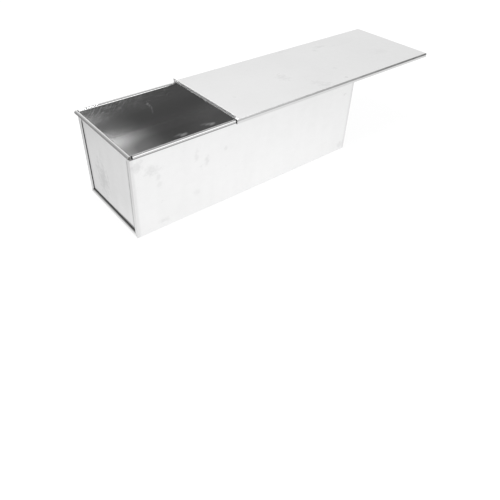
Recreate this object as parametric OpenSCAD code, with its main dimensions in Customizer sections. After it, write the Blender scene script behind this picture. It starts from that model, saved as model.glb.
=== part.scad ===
// Pullman loaf pan with a sliding lid, folded from thin sheet.
// The long walls and the bottom are one trough. Each end is a separate panel, joined to
// the trough by a double lock seam, and every top edge is rolled round a steel wire.
// The origin is the centre of the underside, +X runs along the pan and +Z is up.

/* [Pan] */
// Length of the opening between the end panels
opening_length = 300; // [200:1:420]
// Width of the opening between the long walls
opening_width = 110; // [80:1:180]
// Height from the underside to the top of the rolled rims
pan_height = 100; // [60:1:160]
// Lean of the long walls from upright, in degrees
side_lean = 2.1; // [0:0.1:6]
// Lean of the end panels from upright, in degrees
end_lean = 2.1; // [0:0.1:6]
// Outer radius of the bends between the bottom and the long walls
bend_r = 1.5; // [1.2:0.1:6]

/* [Sheet and wire] */
// Thickness of the sheet
sheet = 0.4; // [0.3:0.05:0.8]
// Diameter of the rim wires
wire_d = 3.2; // [2:0.1:5]
// Space round a wire inside its rolled edge
wire_gap = 0.05; // [0.05:0.01:0.2]
// How far a wire's end lies inside the end of its roll
wire_recess = 1.5; // [0.5:0.1:5]
// Angle at the back of a roll, where the sheet's edge stops short of the wall, in degrees
roll_mouth = 43; // [20:1:90]
// Space between the end of a long roll and the end panel's roll
roll_end_gap = 0.5; // [0.4:0.1:5]
// How far the ends of an end roll stay inside the width over the long rolls
roll_inset = 2.3; // [0.1:0.1:3]

/* [Lock seams] */
// Width of the seam, seen from the end of the pan
seam_width = 5; // [3:0.1:12]
// Space between the folded layers
fold_gap = 0.05; // [0.02:0.01:0.1]
// Outer radius of the fold round the edges of the end
fold_r = 0.8; // [0.4:0.05:1.2]
// Space between the top of a seam and the roll above it
seam_top_gap = 0.2; // [0.1:0.1:3]
// Width of the notch where two seams meet at a bottom corner
notch = 0.3; // [0.1:0.1:1]

/* [Lid] */
// How far the closed lid reaches past the rim at each end
lid_overhang = 4.9; // [0:0.1:20]
// How far the lid is pulled back from its closed place
lid_open = 126.3; // [0:0.1:200]
// Running space above and below the rims
slide_gap = 0.3; // [0.2:0.05:1]
// Running space beside the rims
side_gap = 0.9; // [0.3:0.05:2]
// Outer radius of the lid's bends
lid_bend_r = 1; // [0.9:0.1:3]
// How far each lower flange of the lid reaches in under its rim
flange_width = 3.8; // [2.5:0.1:4.5]
// Height of the upturned lip above the lid
lip_rise = 4.4; // [3:0.1:20]
// How far the ends of the lip stay inside the sides of the lid
lip_inset = 2.2; // [1.5:0.1:20]
// Length of the hem that is folded down the front of the lip
hem_length = 2.5; // [1:0.1:10]
// Space inside the hem's fold
hem_gap = 0.3; // [0.1:0.05:1]

/* [Hidden] */

// A roll's inner and outer radius, and the height of every roll's centre
roll_in_r = wire_d / 2 + wire_gap;
roll_r = roll_in_r + sheet;
roll_z = pan_height - roll_r;
// Centres of the long rolls and of the end rolls, from the middle of the pan
long_roll_y = opening_width / 2 + roll_r;
end_roll_x = opening_length / 2 + roll_r;
// Size over the rolls
over_length = opening_length + 4 * roll_r;
over_width = opening_width + 4 * roll_r;

// One layer of a seam is a sheet and the space before the next layer
layer = sheet + fold_gap;
// From the end panel's inner face to the front of the seam: panel, return, hook and front
seam_depth = 3 * layer + sheet;
seam_top = pan_height - 2 * roll_r - seam_top_gap;
// The fold is square inside, so its rounding is limited to what leaves metal at the corner
round_r = min(fold_r, 2.5 * sheet);
// The seam's inner edge turns back on itself, so it is half round
nose_r = layer + sheet / 2;
nose_n = layer + nose_r;
// A rounding cuts this much wide of its flat faces, so that it meets them at a clear angle
bite = 0.01;
// Turns the Z axis onto the edges between the long walls and the ends
edge_turn = [-atan(tan(side_lean) * cos(end_lean)), end_lean, 0];
// Above the seams, the long walls and their rolls end short of the end panels
wall_end_gap = 0.15;
wall_end_x = opening_length / 2 - wall_end_gap;
long_roll_length = opening_length - 2 * roll_end_gap;
end_roll_length = over_width - 2 * roll_inset;

// The lid hangs over the long rolls with the running space all round them
lid_under_z = pan_height + slide_gap;
lid_top_z = lid_under_z + sheet;
lid_length = over_length + 2 * lid_overhang;
lid_half_width = over_width / 2 + side_gap + sheet;
lip_width = 2 * (lid_half_width - lip_inset);
channel_height = lid_top_z - (pan_height - 2 * roll_r - slide_gap - sheet);
lid_front_x = lid_open - lid_length / 2;
lid_back_x = lid_open + lid_length / 2;
lip_top_z = lid_top_z + lip_rise;
// Front face of the lip's upright layer, and the start of the flat behind its bend
lip_x = lid_front_x + sheet + hem_gap;
flat_start_x = lip_x + lid_bend_r;

// Longer than anything that is cut, and a small overrun for cuts
far = 2 * (over_length + lid_length);
over = 1;
$fn = 64;

// Half width of the trough at height z, at depth d inwards from its outer face
function side_y(d, z) =
    long_roll_y - (roll_in_r + d) / cos(side_lean) + (z - roll_z) * tan(side_lean);

// Half length at height z, at distance n outwards from the end panel's inner face
function end_x(n, z) =
    end_roll_x - (roll_r - n) / cos(end_lean) + (z - roll_z) * tan(end_lean);

// Extrudes a section drawn in Y and Z along X, or one drawn in X and Z along Y
module along_x(length)
    rotate([90, 0, 90])
        linear_extrude(length, center = true)
            children();

module along_y(length)
    rotate([90, 0, 0])
        linear_extrude(length, center = true)
            children();

module at_both_ends() {
    children();
    mirror([1, 0, 0]) children();
}

module at_both_sides() {
    children();
    mirror([0, 1, 0]) children();
}

// Filled cross-section of the pan, at depth d inside the trough's outer face,
// with its lower corners rounded while the bend radius is larger than the depth
module section(d) {
    top = pan_height + over;
    r = bend_r - d;
    reach = r + over;
    difference() {
        polygon([
            [-side_y(d, d), d],
            [side_y(d, d), d],
            [side_y(d, top), top],
            [-side_y(d, top), top],
        ]);
        if (r > 0)
            for (side = [-1, 1])
                translate([side * side_y(bend_r, bend_r), bend_r])
                    difference() {
                        polygon([
                            [0, 0],
                            [0, -reach],
                            [side * reach, -reach],
                            reach * [side * cos(side_lean), -sin(side_lean)],
                        ]);
                        circle(r + bite);
                    }
    }
}

// The part of that cross-section between two depths
module band(d1, d2)
    difference() {
        section(d1);
        section(d2);
    }

// Cross-section of one rolled edge about its centre: the sheet comes up on the left,
// goes over the wire and stops below it, short of the wall
module roll()
    difference() {
        circle(roll_r);
        circle(roll_in_r);
        polygon([
            [0, 0],
            [-2 * roll_r, 0],
            2 * roll_r * [cos(180 + roll_mouth), sin(180 + roll_mouth)],
        ]);
    }

// Cross-section of the trough's bottom and walls, up to where the rolls begin
module trough_walls()
    difference() {
        band(0, sheet);
        translate([-long_roll_y, roll_z]) square(2 * long_roll_y);
    }

// Side view of one end's sheets between two distances outside the panel's inner face,
// up to height top
module end_slab(n1, n2, top)
    intersection() {
        polygon([
            [end_x(n1, -over), -over],
            [end_x(n2, -over), -over],
            [end_x(n2, pan_height), pan_height],
            [end_x(n1, pan_height), pan_height],
        ]);
        translate([0, -over]) square([far, top + over]);
    }

// One folded layer that runs down one side of an end, along its bottom and up the other
module seam_layer(d1, d2, n1, n2)
    intersection() {
        along_x(far) band(d1, d2);
        along_y(far) end_slab(n1, n2, seam_top);
    }

// Cuts the corner off a square edge along Z, down to radius r, on the +X and +Y side
module edge_cutter(r)
    difference() {
        cube([over + r, over + r, far]);
        translate([0, 0, -over]) cylinder(r = r + bite, h = far + 2 * over);
    }

// Rounds the outer edges of an end: the folds round both sides and the bottom
module outer_roundings() {
    wide = round_r + over;
    at_both_sides()
        translate([end_x(seam_depth - round_r, -over), side_y(round_r, -over), -over])
            rotate(edge_turn)
                edge_cutter(round_r);
    along_y(far)
        translate([end_x(seam_depth - round_r, round_r), round_r])
            difference() {
                translate([0, -wide]) square(wide);
                circle(round_r + bite);
            }
}

// Rounds the inner edges of an end's seams: the turns at both sides and above the bottom
module inner_roundings() {
    axis_d = seam_width - nose_r;
    wide = nose_r + over;
    at_both_sides()
        intersection() {
            translate([end_x(nose_n, 0), side_y(axis_d, 0), 0])
                rotate(edge_turn)
                    difference() {
                        translate([-wide, -wide, 0]) cube([2 * wide, wide, far]);
                        translate([0, 0, -over]) cylinder(r = nose_r + bite, h = far);
                    }
            translate([0, 0, seam_width]) cube(far);
        }
    along_y(2 * side_y(seam_width, seam_width))
        translate([end_x(nose_n, axis_d), axis_d])
            difference() {
                translate([-wide, 0]) square([2 * wide, wide]);
                circle(nose_r + bite);
            }
}

// Notches in a seam's folded layers at the two bottom corners
module corner_notches(d)
    at_both_sides()
        translate([0, side_y(d, d), d])
            rotate([45, 0, 0])
                translate([0, -notch / 2, 0])
                    cube([far, notch, 2 * seam_width]);

module trough()
    color("silver") {
        difference() {
            intersection() {
                along_x(far) trough_walls();
                along_y(far)
                    polygon([
                        [-end_x(seam_depth, -over), -over],
                        [end_x(seam_depth, -over), -over],
                        [end_x(seam_depth, pan_height), pan_height],
                        [-end_x(seam_depth, pan_height), pan_height],
                    ]);
            }
            at_both_ends() {
                translate([wall_end_x, -far / 2, seam_top]) cube(far);
                outer_roundings();
            }
        }
        along_x(long_roll_length) {
            translate([long_roll_y, roll_z]) roll();
            mirror([1, 0]) translate([long_roll_y, roll_z]) roll();
        }
        at_both_ends()
            difference() {
                union() {
                    seam_layer(sheet / 2, seam_width, 3 * layer, seam_depth);
                    seam_layer(seam_width - sheet, seam_width, layer, seam_depth);
                    seam_layer(2 * layer, seam_width, layer, layer + sheet);
                }
                corner_notches(sheet);
                outer_roundings();
                inner_roundings();
            }
    }

module end_panel()
    color("gainsboro") {
        intersection() {
            along_x(far) section(layer);
            along_y(far) end_slab(0, sheet, roll_z);
        }
        along_y(end_roll_length)
            translate([end_roll_x, roll_z]) roll();
        seam_layer(layer, layer + sheet, 0, 2 * layer + sheet);
        seam_layer(layer, seam_width - layer, 2 * layer, 2 * layer + sheet);
    }

module back_end_panel()
    end_panel();

module front_end_panel()
    mirror([1, 0, 0]) end_panel();

// A straight wire in a long roll at y, or in an end roll at x
module long_wire(y)
    color("dimgray")
        translate([0, y, roll_z])
            rotate([0, 90, 0])
                cylinder(h = long_roll_length - 2 * wire_recess, d = wire_d, center = true);

module end_wire(x)
    color("dimgray")
        translate([x, 0, roll_z])
            rotate([90, 0, 0])
                cylinder(h = end_roll_length - 2 * wire_recess, d = wire_d, center = true);

module left_rim_wire()
    long_wire(long_roll_y);

module right_rim_wire()
    long_wire(-long_roll_y);

module front_rim_wire()
    end_wire(-end_roll_x);

module back_rim_wire()
    end_wire(end_roll_x);

module rounded_rectangle(width, height, r) {
    translate([-width / 2 + r, 0]) square([width - 2 * r, height]);
    translate([-width / 2, r]) square([width, height - 2 * r]);
    for (x = [r - width / 2, width / 2 - r], y = [r, height - r])
        translate([x, y]) circle(r);
}

// Cross-section of the lid: a flat top, a side down past each rim and a flange under it
module lid_section()
    translate([0, lid_top_z - channel_height])
        difference() {
            rounded_rectangle(2 * lid_half_width, channel_height, lid_bend_r);
            translate([0, sheet])
                rounded_rectangle(
                    2 * (lid_half_width - sheet),
                    channel_height - 2 * sheet,
                    lid_bend_r - sheet
                );
            translate([flange_width - lid_half_width, -over])
                square([2 * (lid_half_width - flange_width), channel_height / 2 + over]);
        }

// Side view of the lip: a bend up from the flat, an upright, and a hem folded to the front
module lip_section() {
    hem_r = sheet + hem_gap / 2;
    hem_z = lip_top_z - hem_r;
    bend_z = lid_under_z + lid_bend_r;
    difference() {
        translate([flat_start_x, bend_z]) circle(lid_bend_r);
        translate([flat_start_x, bend_z]) circle(lid_bend_r - sheet);
        translate([flat_start_x, lid_under_z - over]) square(far);
        translate([lid_front_x - over, bend_z]) square(far);
    }
    translate([lip_x, bend_z]) square([sheet, hem_z - bend_z]);
    difference() {
        translate([lid_front_x + hem_r, hem_z]) circle(hem_r);
        translate([lid_front_x + hem_r, hem_z]) circle(hem_gap / 2);
        translate([lid_front_x - over, hem_z - far]) square(far);
    }
    translate([lid_front_x, lip_top_z - hem_length]) square([sheet, hem_length - hem_r]);
}

module sliding_lid()
    color("whitesmoke") {
        translate([(flat_start_x + lid_back_x) / 2, 0, 0])
            along_x(lid_back_x - flat_start_x)
                lid_section();
        along_y(lip_width)
            lip_section();
    }

trough();
front_end_panel();
back_end_panel();
left_rim_wire();
right_rim_wire();
front_rim_wire();
back_rim_wire();
sliding_lid();
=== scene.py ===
# %% [markdown]
# # A pullman loaf pan with its lid slid open
#
# The pan is folded from bright tinned sheet steel: one trough for the bottom and both long
# walls, a panel at each end, and a flat lid that slides along the rims. All of its shape is in
# the CAD model, which is loaded as a fixed frame and never changed here. This script gives the
# sheets their finish, lights them like a plain studio photograph and sets the camera.

import math

import bpy
import mathutils
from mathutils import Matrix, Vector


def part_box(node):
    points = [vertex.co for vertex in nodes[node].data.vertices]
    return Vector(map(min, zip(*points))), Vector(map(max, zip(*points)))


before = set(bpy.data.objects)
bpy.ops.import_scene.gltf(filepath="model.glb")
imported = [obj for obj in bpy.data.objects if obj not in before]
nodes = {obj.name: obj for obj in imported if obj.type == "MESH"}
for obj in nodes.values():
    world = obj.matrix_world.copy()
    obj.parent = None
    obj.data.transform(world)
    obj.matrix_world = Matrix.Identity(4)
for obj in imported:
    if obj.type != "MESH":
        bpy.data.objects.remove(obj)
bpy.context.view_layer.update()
print("pieces:", ", ".join(sorted(nodes)))

# %% [markdown]
# ## The camera
#
# A photograph fixes where its camera stood. The pan's edges were marked in the picture, and a
# camera was solved that sees the model's edges in the same places, to about a third of a
# pixel. The photograph holds the same view twice, one above the other, and its vanishing
# points belong to the upper half alone. So the lens looks straight at the upper pan and is
# shifted, as on a view camera, until the frame takes in the empty ground below.

# %% Put the camera where the photograph was taken
camera_place = (-0.34649, -0.46306, 0.37212)
camera_degrees = (61.047, -1.239, -38.836)
lens_mm = 41.068
film_mm = 36.0
frame_shift = -0.24

camera = bpy.data.cameras.new("photo_camera")
camera.sensor_width = film_mm
camera.lens = lens_mm
camera.shift_y = frame_shift
camera_object = bpy.data.objects.new("photo_camera", camera)
camera_object.location = camera_place
camera_object.rotation_euler = [math.radians(angle) for angle in camera_degrees]
bpy.context.scene.collection.objects.link(camera_object)
bpy.context.scene.camera = camera_object
print("camera at", camera_place, "with a lens of", lens_mm, "mm")

# %% [markdown]
# ## Sizes that the finishes follow
#
# The finish changes from place to place: the inside of the trough is shinier than its outside,
# and beside the seams lies a dark line of old fat and flour and painted shade. A shader finds
# those places from the point's coordinates, so it needs a few sizes of the pan. What can be
# measured is measured on the loaded pieces.
# The rest are the sizes that the sheet was folded to: its thickness, the radius of a rolled
# rim, the width of a seam, how far the walls lean, and the height of the lid's flat top, which
# a box around the lid doesn't give because its upturned lip stands higher.

# %% Measure the pan
SHEET = 0.0004
ROLL_R = 0.00205
SEAM_WIDTH = 0.005
LEAN = math.radians(2.1)
LID_TOP = 0.1007

trough_low, trough_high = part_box("trough")
panel_low, panel_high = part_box("back_end_panel")
lid_low, lid_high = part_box("sliding_lid")

PAN_HEIGHT = trough_high[2]
ROLL_Z = PAN_HEIGHT - ROLL_R
LONG_ROLL_Y = trough_high[1] - ROLL_R
END_ROLL_X = panel_high[0] - ROLL_R


def in_mm(*metres):
    return tuple(1000 * value for value in metres)


print("pan %.1f mm high and %.1f mm wide" % in_mm(PAN_HEIGHT, trough_high[1] - trough_low[1]))
print("back end panel from x = %.1f to %.1f mm" % in_mm(panel_low[0], panel_high[0]))
print("lid from x = %.1f to %.1f mm" % in_mm(lid_low[0], lid_high[0]))
print("long rolls at y = %.2f mm, end rolls at x = %.2f mm" % in_mm(LONG_ROLL_Y, END_ROLL_X))

# %% [markdown]
# ## Writing shaders as sums
#
# A procedural finish is mostly arithmetic on numbers that vary over the surface. Wiring that
# by hand hides it, so one small class wraps a node's output and lets Python's own operators
# add the Math nodes. Writing `1 - mask` is then enough to turn a mask round. Adding, taking
# away and multiplying also have a reflected form, for when a plain number stands on the left.

# %% A number that varies over a surface
class Field:
    """A node output: one number, or one colour or vector, for each point of a surface."""

    def __init__(self, shader, socket):
        self.shader = shader
        self.socket = socket

    def _math(self, operation, *values):
        return self.shader.node("ShaderNodeMath", {"operation": operation}, dict(enumerate(values)))

    def __add__(self, other):
        return self._math("ADD", self, other)

    def __radd__(self, other):
        return self._math("ADD", other, self)

    def __sub__(self, other):
        return self._math("SUBTRACT", self, other)

    def __rsub__(self, other):
        return self._math("SUBTRACT", other, self)

    def __mul__(self, other):
        return self._math("MULTIPLY", self, other)

    def __rmul__(self, other):
        return self._math("MULTIPLY", other, self)

    def __truediv__(self, other):
        return self._math("DIVIDE", self, other)

    def __abs__(self):
        return self._math("ABSOLUTE", self)

    def higher(self, other):
        return self._math("MAXIMUM", self, other)

    def step(self, start, end):
        """0 at start, 1 at end and smooth between them. Start may be the larger of the two."""
        low, high = min(start, end), max(start, end)
        ends = (0.0, 1.0) if start < end else (1.0, 0.0)
        return self.shader.node(
            "ShaderNodeMapRange",
            {"interpolation_type": "SMOOTHSTEP"},
            {"Value": self, "From Min": low, "From Max": high, "To Min": ends[0], "To Max": ends[1]},
        )


print("Field: shader numbers that add, multiply, divide and step")

# %% [markdown]
# Every other node comes from one method. It takes the node's type, then its settings, which
# have to be made before its sockets because they can change which sockets there are, and last
# the value or link of each socket. Noise that is first stretched along an axis turns into
# grain or streaks, and the ray fields tell who is looking: the camera, a mirror or a glass.

# %% A node tree that is written in Python
class Shader:
    """A node tree of a material or of the world."""

    def __init__(self, tree):
        self.tree = tree
        tree.nodes.clear()

    def node(self, kind, settings, sockets, output=0):
        made = self.tree.nodes.new(kind)
        for name, value in settings.items():
            setattr(made, name, value)
        for name, value in sockets.items():
            if isinstance(value, Field):
                self.tree.links.new(value.socket, made.inputs[name])
            else:
                made.inputs[name].default_value = value
        return Field(self, made.outputs[output]) if made.outputs else None

    def place(self):
        """The point on the piece, in metres, in the pan's own frame."""
        return self.node("ShaderNodeTexCoord", {}, {}, "Object")

    def axes(self, vector):
        return [self.node("ShaderNodeSeparateXYZ", {}, {"Vector": vector}, axis) for axis in "XYZ"]

    def rays(self):
        """1 for a ray from the camera, then the same for a mirrored ray and one through glass."""
        kinds = ("Is Camera Ray", "Is Glossy Ray", "Is Transmission Ray")
        return [self.node("ShaderNodeLightPath", {}, {}, kind) for kind in kinds]

    def stretched(self, vector, scale):
        return self.node("ShaderNodeVectorMath", {"operation": "MULTIPLY"}, {0: vector, 1: scale})

    def turned(self, vector, degrees):
        turn = tuple(math.radians(angle) for angle in degrees)
        return self.node("ShaderNodeMapping", {"vector_type": "POINT"}, {"Vector": vector, "Rotation": turn})

    def noise(self, vector, scale, detail=2.0, roughness=0.5):
        return self.node(
            "ShaderNodeTexNoise",
            {"noise_dimensions": "3D"},
            {"Vector": vector, "Scale": scale, "Detail": detail, "Roughness": roughness},
        )

    def drawn_noise(self, vector, scales, detail=2.0, roughness=0.5):
        """Noise with a scale for each axis. It is drawn out along the axis of the lowest one."""
        return self.noise(self.stretched(vector, scales), 1.0, detail, roughness)

    def blend(self, first, second, share):
        """Goes from the first colour to the second as share goes from 0 to 1."""
        return self.node(
            "ShaderNodeMix",
            {"data_type": "RGBA", "clamp_factor": True},
            {0: share, 6: first, 7: second},
            2,
        )


print("Shader: places, axes, rays, noise and blends")

# %% [markdown]
# ## Marks on the metal
#
# Bright sheet is never blank. Rolling leaves a fine grain along it, handling leaves dull
# smudges, and stacked pans scratch each other. Each kind of mark is a mask from 0 to 1, so
# that one mask can darken the metal, dull its shine and dent it all at once. Smudges sit where
# they are put: an ellipsoid gives the place, and noise frays its outline.

# %% Make masks for smudges and scratches
NO_GLOW = (0, 0, 0, 1)
RELIEF_UNIT = 0.001


class Finish(Shader):
    """A material, and the marks that bright sheet metal gets."""

    def __init__(self, name):
        self.material = bpy.data.materials.new(name)
        self.material.use_nodes = True
        super().__init__(self.material.node_tree)

    def spot(self, place, centre, size, fray):
        """1 in the middle of an ellipsoid and 0 outside it. All sizes are in millimetres."""
        centre = tuple(0.001 * value for value in centre)
        off = self.node("ShaderNodeVectorMath", {"operation": "SUBTRACT"}, {0: place, 1: centre})
        off = self.stretched(off, tuple(1000.0 / value for value in size))
        away = self.node("ShaderNodeVectorMath", {"operation": "LENGTH"}, {0: off}, "Value")
        return (away + fray * (self.noise(place, 190.0, 4.0, 0.65) - 0.5)).step(1.0, 0.1)

    def spots(self, place, marks, fray=2.2):
        """The strongest of several spots at each point. Fray is how ragged their outlines are."""
        total = None
        for centre, size, strength in marks:
            mark = strength * self.spot(place, centre, size, fray)
            total = mark if total is None else total.higher(mark)
        return total

    def scratches(self, place, degrees, long, fine, width, share):
        """Thin lines along the turned X axis: the places where stretched noise crosses its middle."""
        lengthways = self.drawn_noise(self.turned(place, degrees), (long, fine, fine), 0.0)
        line = abs(lengthways - 0.5).step(width, 0.0)
        patch = self.noise(self.turned(place, (40, 70, 20)), 45.0, 2.0).step(1.0 - share, 1.08 - share)
        return line * patch

    def metal(self, shade, roughness, relief, glow=NO_GLOW):
        """Ends the material. Relief is the height of the surface in millimetres."""
        bump = {"Height": relief, "Distance": RELIEF_UNIT, "Strength": 1.0}
        sockets = {
            "Base Color": shade,
            "Metallic": 1.0,
            "Roughness": roughness,
            "Normal": self.node("ShaderNodeBump", {}, bump),
            "Emission Color": glow,
            "Emission Strength": 1.0,
        }
        shader = self.node("ShaderNodeBsdfPrincipled", {}, sockets)
        self.node("ShaderNodeOutputMaterial", {}, {"Surface": shader})
        return self.material


print("Finish: spots, scratches and the metal below them")

# %% [markdown]
# ## Where a point lies on the pan
#
# The walls lean outwards, so being inside or outside isn't a matter of one coordinate. Two
# distances settle it: how deep a point lies inside the trough's outer face, and how far it
# lies outside the end panel's inner face. Half the sheet's thickness parts the inner skin
# from the outer one.

# %% Measure depths in a shader
WALL_FOOT_Y = LONG_ROLL_Y - (ROLL_R - SHEET) / math.cos(LEAN) - ROLL_Z * math.tan(LEAN)
END_FOOT_X = END_ROLL_X - ROLL_R / math.cos(LEAN) - ROLL_Z * math.tan(LEAN)
OUTER_SIDE = 0.4 * SHEET
INNER_SIDE = 0.6 * SHEET


def wall_depth(y, z):
    """Distance inwards from the outer face of the nearest long wall."""
    return WALL_FOOT_Y + z * math.tan(LEAN) - abs(y)


def end_distance(x, z):
    """Distance outwards from the inner face of the nearest end panel."""
    return abs(x) - END_FOOT_X - z * math.tan(LEAN)


print("at the ground, walls at y = %.2f mm and ends at x = %.2f mm" % in_mm(WALL_FOOT_Y, END_FOOT_X))

# %% [markdown]
# Three masks come from those depths. One is the skin that the loaf touches. One is the rolled
# rim of a long wall, and one is the crevice under it, which gets painted shade.

# %% Find the inner skin, the rims and the crevice under them
WALL_CREVICE = (0.0932, 0.0942)
ROLL_CREVICE = (0.0950, 0.0955)


def inner_skin(x, y, z):
    """1 on the surfaces that the loaf touches."""
    under_the_rim = z.step(ROLL_Z + 0.0006, ROLL_Z - 0.0006)
    off_the_wall = wall_depth(y, z).step(OUTER_SIDE, INNER_SIDE)
    off_the_floor = z.step(OUTER_SIDE, INNER_SIDE)
    off_the_end = end_distance(x, z).step(INNER_SIDE, OUTER_SIDE)
    return under_the_rim * off_the_wall * off_the_floor * off_the_end


def rim_skin(y, z):
    """1 on the rolled rims of the long walls."""
    above = z.step(ROLL_Z - 0.0003, ROLL_Z + 0.0003)
    outwards = z.step(ROLL_Z - 0.0030, ROLL_Z - 0.0020) * wall_depth(y, z).step(0.0, -SHEET)
    return above.higher(outwards)


# Painted shade: this mask darkens the crevice under a long roll, as the shadow beneath it.
def under_rim(y, z):
    """1 in the crevice under a long roll, on the wall and on the roll's lower side."""
    depth = wall_depth(y, z)
    on_wall = z.step(*WALL_CREVICE) * depth.step(-SHEET, 0.0)
    on_roll = z.step(ROLL_Z - 0.0002, ROLL_Z - 0.0012) * depth.step(0.0, -SHEET)
    on_roll = on_roll * z.step(*ROLL_CREVICE)
    outside = depth.step(INNER_SIDE, OUTER_SIDE)
    return on_wall.higher(on_roll) * outside


print("the crevice reaches from z = %.1f mm to %.1f mm" % in_mm(WALL_CREVICE[0], ROLL_Z))

# %% [markdown]
# ## The trough
#
# The trough is the largest sheet. Its grain runs along the pan, since the sheet was rolled that
# way. Outside it is evenly satin, with smudges where hands have held it. Each mark below is a
# centre and a size in millimetres, and how strong it is. Noise could have placed them, but
# these stand where the photograph has them, and a few more are on the sides that it hides.

# %% Place the marks outside the trough
WHITE_TIN = (0.93, 0.93, 0.93, 1.0)
GREY_TIN = (0.62, 0.62, 0.62, 1.0)
DULL_AND_SHADED_TIN = (0.22, 0.22, 0.22, 1.0)
PAINTED_SHADE_DARK = (0.06, 0.06, 0.06, 1.0)

side_smudges = [
    ((-144, -55, 84), (9, 4, 11), 0.38),
    ((-128, -54, 74), (13, 4, 9), 0.35),
    ((-122, -54, 65), (4, 4, 6), 0.26),
    ((-121, -54, 55), (4, 4, 6), 0.2),
    ((-78, -54, 71), (4, 4, 9), 0.25),
    ((-65, -54, 64), (4.5, 4, 11), 0.32),
    ((-41, -54, 68), (3, 4, 4), 0.25),
    ((-118, -52, 9), (9, 4, 4), 0.28),
    ((-77, -53, 27), (6, 4, 6), 0.18),
    ((137, -55, 80), (4, 4, 3), 0.45),
    ((141, -52, 8), (8, 4, 7), 0.3),
    ((60, 54, 60), (14, 4, 8), 0.35),
    ((-90, 54, 40), (6, 4, 14), 0.35),
    ((100, 53, 25), (5, 4, 6), 0.4),
]
print(len(side_smudges), "smudges on the sides")

# %% [markdown]
# Inside, the trough is a box of mirrors. Light bounces between the bright walls many times and
# fades slowly. A render cuts that short, so the inner skin has a very faint glow of its own, a
# fifth of white at the most. The glow also carries what the photograph shows on the far inner
# wall: two glints low down, a small curved mark above them, and a hazy band below the rim that
# has been scraped where loaves are turned out.

# %% Let light bounce inside the trough
BOUNCED_LIGHT = (0.2, 0.2, 0.2, 1)
GLINT_FRAY = 0.6

wall_glints = [
    ((-32, 52.6, 32.2), (11, 5, 2.4), 0.55),
    ((-25, 52.6, 30.6), (10, 5, 3.2), 1.0),
    ((4, 52.6, 35.2), (12, 5, 2.4), 0.5),
    ((11, 52.6, 33.4), (10, 5, 2.8), 0.75),
    ((17, 52.6, 31.8), (9, 5, 3.2), 1.0),
    ((-70.1, 54.5, 84.5), (2.6, 5, 3.0), 0.62),
    ((-67.8, 54.4, 81.6), (2.2, 5, 3.0), 0.5),
    ((-65.5, 54.3, 77.9), (1.8, 5, 4.4), 0.44),
    ((-64.6, 54.1, 72.9), (1.6, 5, 4.4), 0.42),
]


# Painted light: an emission glow on the inner skin, with painted glints, a light mark, a lighter patch low
# on the far wall and a hazy band.
def inner_glow(finish, place, inside, mottle):
    x, y, z = finish.axes(place)
    below_rim = z.step(0.074, 0.100) * x.step(-0.04, -0.12)
    scrapes = finish.drawn_noise(finish.turned(place, (0, 50, 0)), (140.0, 140.0, 800.0), 2.0, 0.6)
    haze = below_rim * inside * (0.08 + 0.5 * mottle + scrapes.step(0.50, 0.64))
    spill = z.step(0.075, 0.050) * x.step(-0.040, 0.020) * y.step(0.0, 0.030)
    glints = finish.spots(place, wall_glints, GLINT_FRAY)
    bounced = (0.15 + 0.11 * spill).higher(glints) * inside + 0.38 * haze
    return finish.blend(NO_GLOW, BOUNCED_LIGHT, bounced)


print(len(wall_glints), "glints on the far inner wall")

# %% [markdown]
# Painted shade darkens the crevices under the rims and a band along the top of the fold that
# wraps the bottom of each end. The rubbed streaks inside are noise that is drawn out along the
# pan, kept to the top quarter of the walls.

# %% Find the painted shade and the rubbed streaks
# Painted shade: the shadow under the long rolls, and a shaded band along the top of the bottom fold.
def trough_painted_shade(x, y, z):
    fold = end_distance(x, z).step(0.0006, 0.0010) * wall_depth(y, z).step(0.003, 0.005)
    fold = fold * z.step(0.0032, 0.0042) * z.step(0.0064, 0.0058)
    return (0.82 * under_rim(y, z)).higher(0.6 * fold)


def rubbed_streaks(finish, place, z, mottle):
    rubs = finish.drawn_noise(place, (60.0, 900.0, 900.0), 4.0, 0.6).step(0.5, 0.68)
    return rubs * z.step(0.072, 0.092) * (0.5 + 0.5 * mottle.step(0.4, 0.6))


print("dirt and streaks: two masks for the trough")

# %% [markdown]
# The walls are shinier inside than outside, because nothing rubs them but dough, apart from
# those streaks. The bottom is the other way round: loaves and scraping have made it rough. Its
# colour gets painted shade, darker towards the middle of its width and towards the back. In the
# sums below, the number before a mask says how much of that mark the metal gets.

# %% Finish the trough
GRAIN_ALONG = (40.0, 1500.0, 1500.0)
GRAIN_MM = 0.0012
WAVE_MM = 0.05
MOTTLE_MM = 0.004
SCUFF_MM = 0.003
SCRATCH_MM = 0.004


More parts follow.
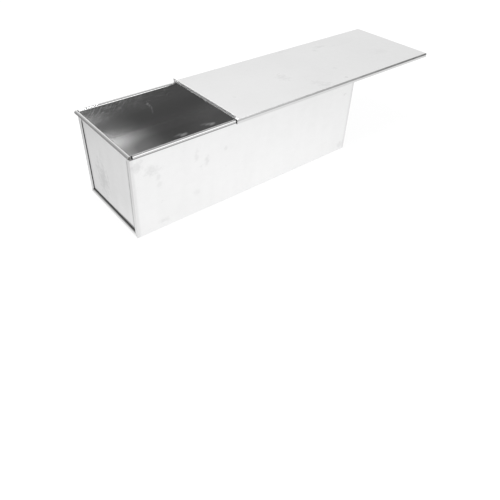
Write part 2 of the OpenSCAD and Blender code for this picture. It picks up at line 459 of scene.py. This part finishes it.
def trough_finish():
    finish = Finish("bright_tin_trough")
    place = finish.place()
    x, y, z = finish.axes(place)
    inside = inner_skin(x, y, z)
    floor = z.step(0.0018, 0.0008) * inside
    rims = rim_skin(y, z)

    cloud = finish.noise(place, 14.0, 3.0, 0.6)
    mottle = finish.noise(place, 160.0, 3.0, 0.6)
    grain = finish.drawn_noise(place, GRAIN_ALONG)
    streaks = finish.drawn_noise(place, (90.0, 90.0, 9.0), 3.0)
    smudges = finish.spots(place, side_smudges) * (1 - inside)
    scuffs = finish.scratches(place, (0, 8, 3), long=25.0, fine=420.0, width=0.012, share=0.42)
    marks = finish.scratches(place, (0, 38, 0), long=18.0, fine=300.0, width=0.01, share=0.35)
    rubs = rubbed_streaks(finish, place, z, mottle) * inside
    # Painted shade: the outer skin greys within a few millimetres of each end's corner.
    corner = end_distance(x, z).step(-0.0035, 0.0005) * (1 - inside)

    grey_share = 0.22 * (1 - cloud) + 0.10 * mottle + 0.12 * (streaks - 0.35) + 0.05 * grain
    # Painted shade: the near rim is greyer and the far rim lighter.
    grey_share = grey_share + (0.98 * y.step(0.03, -0.03) - 0.15) * rims + 0.3 * corner
    # Painted shade: the bottom darkens towards the middle of its width and towards the back.
    middle = 0.72 * x.step(-0.085, -0.035) + 0.66 * abs(y).step(0.040, 0.005)
    dull_and_shade = (0.56 * inside * (1 - floor) * (1 - 0.8 * rubs)).higher(floor * middle)
    dull_and_shade = dull_and_shade.higher(0.4 * smudges + 0.12 * scuffs + 0.10 * marks)
    colour = finish.blend(WHITE_TIN, GREY_TIN, grey_share)
    colour = finish.blend(colour, DULL_AND_SHADED_TIN, dull_and_shade)
    # Painted shade under the long rolls and along the bottom fold.
    colour = finish.blend(colour, PAINTED_SHADE_DARK, trough_painted_shade(x, y, z))

    roughness = 0.33 + 0.08 * (mottle - 0.5) + 0.15 * smudges - 0.24 * inside - 0.25 * rims
    roughness = roughness + 0.10 * rubs + 0.20 * marks * inside + 0.59 * floor
    relief = GRAIN_MM * grain + WAVE_MM * cloud + MOTTLE_MM * mottle - SCUFF_MM * scuffs
    relief = relief - SCRATCH_MM * marks
    return finish.metal(colour, roughness, relief, inner_glow(finish, place, inside, mottle))


trough_metal = trough_finish()
print("trough finish:", len(trough_metal.node_tree.nodes), "nodes")

# %% [markdown]
# ## The end panels
#
# The panels are cut from sheet whose grain stands upright, and they look a little greyer than
# the trough. Beside each folded seam runs a dark line that is partly old fat and flour and partly
# painted shade in the groove. The line follows the seam's inner edge, which lies one seam's width
# inside the outer faces of the walls and the bottom, and it widens towards the side nearest the
# camera.

# %% Place the seam line, the painted shade and the marks on the end panels
SEAM_GRIME_AND_SHADE = (0.05, 0.05, 0.05, 1.0)
PANEL_CREVICE = (0.0920, 0.0936)
SEAM_TOP = (0.092, 0.087)

panel_smudges = [
    ((-148.5, 5, 42), (4, 3, 10), 0.35),
    ((-148, 17, 35), (5, 17, 30), 0.45),
    ((-148, 12, 66), (5, 10, 14), 0.12),
    ((148.5, -14, 52), (4, 8, 6), 0.35),
]


# The seam line is partly old fat and flour and partly painted shade in the seam's groove.
def seam_grime_and_shade(finish, place, y, z):
    """1 beside the folded seams, along the bottom and up both sides. Noise makes it ragged."""
    near = y.step(0.03, -0.045)
    wobble = 0.8 + 0.4 * finish.noise(place, 120.0, 2.0)
    bottom_width = wobble * (0.0034 + 0.0022 * near)
    side_width = wobble * (0.0024 + 0.0034 * near)
    above_seam = ((z - SEAM_WIDTH) / bottom_width).step(1.0, 0.35)
    beside_seam = ((wall_depth(y, z) - SEAM_WIDTH) / side_width).step(1.0, 0.35)
    beside_seam = beside_seam * (1 - 0.4 * near) * z.step(*SEAM_TOP)
    return above_seam.higher(beside_seam)


print(len(panel_smudges), "smudges on the end panels")

# %% [markdown]
# The long streaks are what makes the panels look brushed upright. The rolled top edge is a
# little darker on the side that faces out and down, where it leans away from the light.

# %% Finish the end panels
GRAIN_UPRIGHT = (1500.0, 1500.0, 40.0)
PANEL_WAVE_MM = 0.04


def panel_finish():
    finish = Finish("bright_tin_panel")
    place = finish.place()
    x, y, z = finish.axes(place)
    outside = end_distance(x, z).step(OUTER_SIDE, INNER_SIDE) * z.step(ROLL_Z + 0.0006, ROLL_Z - 0.002)
    # Painted shade: the whole rolled top edge is a little greyer, and darker on its outer, lower side.
    roll = z.step(ROLL_Z - 0.0024, ROLL_Z - 0.0020)
    out_and_down = 0.63 * (abs(x) - END_ROLL_X) - 0.77 * (z - ROLL_Z)
    outwards = out_and_down.step(-0.0016, -0.0008) * roll

    cloud = finish.noise(place, 16.0, 3.0, 0.6)
    mottle = finish.noise(place, 170.0, 3.0, 0.6)
    grain = finish.drawn_noise(place, GRAIN_UPRIGHT)
    streaks = finish.drawn_noise(place, (80.0, 80.0, 7.0), 3.0)
    marks = finish.scratches(place, (65, 0, 0), long=20.0, fine=300.0, width=0.01, share=0.35)
    smudges = finish.spots(place, panel_smudges)
    grime_and_shade = seam_grime_and_shade(finish, place, y, z) * outside
    # Painted shadow: a dark band on the panel just under its rolled top edge.
    under_roll = z.step(*PANEL_CREVICE) * outside

    # The panel is greyer towards the bottom.
    grey_share = 0.08 + 0.12 * z.step(0.08, 0.01) + 0.22 * (1 - cloud) + 0.10 * mottle
    grey_share = grey_share + 0.26 * (streaks - 0.45) + 0.05 * grain
    colour = finish.blend(WHITE_TIN, GREY_TIN, grey_share + 0.2 * roll)
    colour = finish.blend(colour, DULL_AND_SHADED_TIN, 0.45 * smudges + 0.10 * marks + 0.56 * outwards)
    colour = finish.blend(colour, SEAM_GRIME_AND_SHADE, (0.84 * grime_and_shade).higher(0.35 * under_roll))

    roughness = 0.30 + 0.08 * (mottle - 0.5) + 0.12 * smudges - 0.08 * (1 - outside) + 0.2 * grime_and_shade
    relief = GRAIN_MM * grain + PANEL_WAVE_MM * cloud + MOTTLE_MM * mottle - SCRATCH_MM * marks
    return finish.metal(colour, roughness, relief)


panel_metal = panel_finish()
print("panel finish:", len(panel_metal.node_tree.nodes), "nodes")

# %% [markdown]
# ## The lid
#
# The lid is wiped and stacked more than the rest, so it has more smudges and fine scratches.
# They lie on its flat top, at the height of 101 mm, and each is again a centre and a size in
# millimetres and a strength.

# %% Place the marks on the lid
lid_smudges = [
    ((77.5, -7, 101), (9, 14, 3), 0.9),
    ((78, -17, 101), (4, 5, 3), 0.5),
    ((100, -42, 101), (10, 8, 3), 0.6),
    ((104, -52, 101), (13, 9, 3), 0.75),
    ((139.5, -52, 101), (4, 4, 3), 1.2),
    ((149, -24, 101), (5, 5, 3), 0.35),
    ((185, 40, 101), (12, 5, 3), 0.5),
    ((171, 34, 101), (6, 6, 3), 0.4),
    ((132, 55, 101), (12, 4, 3), 0.35),
    ((-1, -16, 101), (3, 5, 3), 0.5),
    ((-24, 4, 101), (3, 2, 3), 0.4),
    ((240, -20, 101), (16, 12, 3), 0.2),
]
print(len(lid_smudges), "smudges on the lid")

# %% [markdown]
# Where the lid's long edges turn down, a dark line of painted shade runs along the bend, stronger
# towards the back end. The upturned lip at its front has a painted shadow along its hem and
# painted shade on its upper part, darker towards the near side, and the bend at its foot is duller.

# %% Finish the lid
def above_lid(z, start, end):
    """A step upwards from start to end, both in millimetres above the lid's flat top."""
    return z.step(LID_TOP + 0.001 * start, LID_TOP + 0.001 * end)


def lid_finish():
    finish = Finish("bright_tin_lid")
    place = finish.place()
    x, y, z = finish.axes(place)
    front = lid_low[0]
    side = lid_high[1]

    cloud = finish.noise(place, 12.0, 3.0, 0.6)
    mottle = finish.noise(place, 150.0, 3.0, 0.6)
    grain = finish.drawn_noise(place, GRAIN_ALONG)
    smudges = finish.spots(place, lid_smudges)
    scuffs = finish.scratches(place, (0, 0, 4), long=22.0, fine=380.0, width=0.012, share=0.45)
    marks = finish.scratches(place, (0, 0, 52), long=18.0, fine=300.0, width=0.01, share=0.38)

    lip = above_lid(z, 0.3, 0.8)
    # Painted shade on the lip's upper part, darker towards the near side, and a painted shadow along its
    # hem.
    upper = above_lid(z, 0.8, 1.6) * y.step(0.055, -0.02)
    hem_line = above_lid(z, 1.2, 1.6) * above_lid(z, 2.2, 1.9)
    bend = x.step(front + 0.0040, front + 0.0030) * above_lid(z, 1.2, 0.6)
    # Painted shade: a dark line along the bend of each long edge, stronger towards the back end.
    crease = abs(y).step(side - 0.0009, side - 0.0003) * above_lid(z, -2.6, -1.9)
    crease = crease * (0.38 + 0.5 * x.step(-0.02, 0.28)) * (0.8 + 0.4 * finish.noise(place, 90.0, 2.0))
    painted_shade = (0.9 * crease).higher(hem_line * (0.12 + 0.2 * y.step(0.03, -0.05)))

    grey_share = 0.43 + 0.18 * (1 - cloud) + 0.10 * mottle + 0.05 * grain
    colour = finish.blend(WHITE_TIN, GREY_TIN, grey_share)
    colour = finish.blend(colour, DULL_AND_SHADED_TIN, 0.3 * smudges + 0.10 * scuffs + 0.10 * marks)
    colour = finish.blend(colour, DULL_AND_SHADED_TIN, (0.03 + 0.20 * upper) * lip)
    colour = finish.blend(colour, PAINTED_SHADE_DARK, painted_shade)

    roughness = 0.36 + 0.08 * (mottle - 0.5) + 0.12 * smudges + 0.1 * crease + 0.16 * lip + 0.3 * bend
    relief = GRAIN_MM * grain + WAVE_MM * cloud + MOTTLE_MM * mottle - SCUFF_MM * scuffs
    relief = relief - SCRATCH_MM * marks
    return finish.metal(colour, roughness, relief)


lid_metal = lid_finish()
print("lid finish:", len(lid_metal.node_tree.nodes), "nodes")

# %% [markdown]
# ## The rim wires
#
# The wires are plain drawn steel. Only their ends show, in the open ends of the rolls, and
# drawing leaves fine lines along them.

# %% Finish the wires
BARE_STEEL = (0.5, 0.49, 0.48, 1.0)
STAINED_STEEL = (0.22, 0.21, 0.2, 1.0)
LINE_MM = 0.002


def wire_finish():
    finish = Finish("drawn_wire")
    place = finish.place()
    stain = finish.noise(place, 400.0, 3.0, 0.6)
    lines = finish.drawn_noise(place, (300.0, 300.0, 2500.0))
    colour = finish.blend(BARE_STEEL, STAINED_STEEL, 0.3 + 0.7 * (stain - 0.3))
    return finish.metal(colour, 0.42 + 0.2 * (stain - 0.5), LINE_MM * lines)


wire_metal = wire_finish()
print("wire finish:", len(wire_metal.node_tree.nodes), "nodes")

# %% [markdown]
# ## Putting the finishes on
#
# A CAD piece keeps its mesh and gets nothing but a material. The two end panels share one, and
# the marks on it tell them apart by their places. Every piece that isn't a sheet is a wire.

# %% Dress the pieces
finishes = {
    "trough": trough_metal,
    "front_end_panel": panel_metal,
    "back_end_panel": panel_metal,
    "sliding_lid": lid_metal,
}
for name, piece in nodes.items():
    piece.data.materials.clear()
    piece.data.materials.append(finishes.get(name, wire_metal))
    print(name, "wears", piece.data.materials[0].name)

# %% [markdown]
# ## The studio
#
# Polished sheet shows its surroundings more than itself, so the room matters as much as the
# metal. The ground is a white table that is brightest round the pan and falls off around it,
# most of all towards the far side and the far left, which is what makes the end panel greyer
# than the long side. The camera itself sees plain white everywhere, as in the photograph.

# %% Lay the white table
TABLE_HALF = 30.0
TABLE_Z = -0.0004
MATTE_WHITE = (0.9, 0.9, 0.9, 1.0)


def leftwards(x, y):
    """How far a point or a direction goes towards the far left of the picture."""
    return y * 0.76 - x * 0.65


def table_material():
    finish = Finish("white_table")
    x, y, z = finish.axes(finish.place())
    seen, mirrored, through = finish.rays()

    left = leftwards(x, y)
    falloff = 1.06 - 0.22 * left.step(0.02, 0.14) - 0.14 * left.step(0.10, 0.45)
    falloff = falloff - 0.06 * y.step(-0.08, -0.30) - 0.10 * x.step(0.0, 0.35) - 0.30 * y.step(0.12, 0.40)
    glow = finish.node("ShaderNodeEmission", {}, {"Strength": 1.02 * seen + (1 - seen) * falloff})
    matte = finish.node("ShaderNodeBsdfDiffuse", {}, {"Color": MATTE_WHITE})
    share = (0.92 * seen).higher(mirrored).higher(through)
    mixed = finish.node("ShaderNodeMixShader", {}, {0: share, 1: matte, 2: glow})
    finish.node("ShaderNodeOutputMaterial", {}, {"Surface": mixed})
    return finish.material


def make_table():
    corners = [(-1, -1), (1, -1), (1, 1), (-1, 1)]
    mesh = bpy.data.meshes.new("white_table")
    points = [(TABLE_HALF * x, TABLE_HALF * y, TABLE_Z) for x, y in corners]
    mesh.from_pydata(points, [], [(0, 1, 2, 3)])
    mesh.materials.append(table_material())
    table = bpy.data.objects.new("white_table", mesh)
    bpy.context.scene.collection.objects.link(table)
    return table


table = make_table()
print("table at z = %.1f mm" % in_mm(table.data.vertices[0].co.z))

# %% [markdown]
# The world is the room's white walls and ceiling, and the camera sees it plain white. Mirror
# rays find a darker ceiling, and darker walls low down at the far side and at the far left,
# where the photograph's studio was open and dim. For all other light the room has one plain,
# soft level, so that a colour renders about as it is written.

# %% Light the room
WHITE = (1, 1, 1, 1)
SOFT_LEVEL = 0.85


def light_the_room():
    world = bpy.data.worlds.new("white_room")
    bpy.context.scene.world = world
    world.use_nodes = True
    room = Shader(world.node_tree)
    x, y, z = room.axes(room.node("ShaderNodeTexCoord", {}, {}, "Generated"))
    seen, mirrored, through = room.rays()

    dim = leftwards(x, y).step(0.1, 0.9) * z.step(0.55, 0.0)
    far_wall = y.step(0.1, 0.5) * z.step(0.22, 0.04)
    ceiling = z.step(0.42, 0.85)
    walls = 1.0 - 0.45 * ceiling - (0.55 * dim).higher(0.5 * far_wall)
    strength = SOFT_LEVEL + mirrored.higher(through) * (walls - SOFT_LEVEL)
    strength = seen + (1 - seen) * strength
    shade = room.node("ShaderNodeBackground", {}, {"Color": WHITE, "Strength": strength})
    room.node("ShaderNodeOutputWorld", {}, {"Surface": shade})
    return world


room_world = light_the_room()
print("room:", len(room_world.node_tree.nodes), "nodes")

# %% [markdown]
# ## The lamps
#
# Two large, soft lamps finish the light, as softboxes do in a studio. One faces the long side
# that the camera sees. The other hangs over the open end of the pan and shines into it. It
# makes the bright patch on the pan's bottom, and the shade beyond the lid's edge. Each lamp
# below has a place, the point that it faces and a size, all in metres, and its power in watts.

# %% Hang the lamps
softboxes = [
    ("side_softbox", (0.3, -1.5, 0.9), (0.05, 0, 0.05), (1.4, 1.0), 5),
    ("top_softbox", (-0.04, 0.04, 1.2), (-0.09, 0, 0.0), (0.5, 0.4), 22),
]
for name, place, target, size, power in softboxes:
    light = bpy.data.lights.new(name, "AREA")
    light.shape = "RECTANGLE"
    light.size, light.size_y = size
    light.energy = power
    lamp = bpy.data.objects.new(name, light)
    lamp.location = place
    aim = mathutils.Vector(target) - mathutils.Vector(place)
    lamp.rotation_euler = aim.to_track_quat("-Z", "Y").to_euler()
    bpy.context.scene.collection.objects.link(lamp)
    print(name, "at", place, "with", power, "W")

# %% [markdown]
# ## The last steps
#
# The Standard view shows each colour as it was worked out and bends none of them.

# %% Use the Standard view
bpy.context.scene.view_settings.view_transform = "Standard"
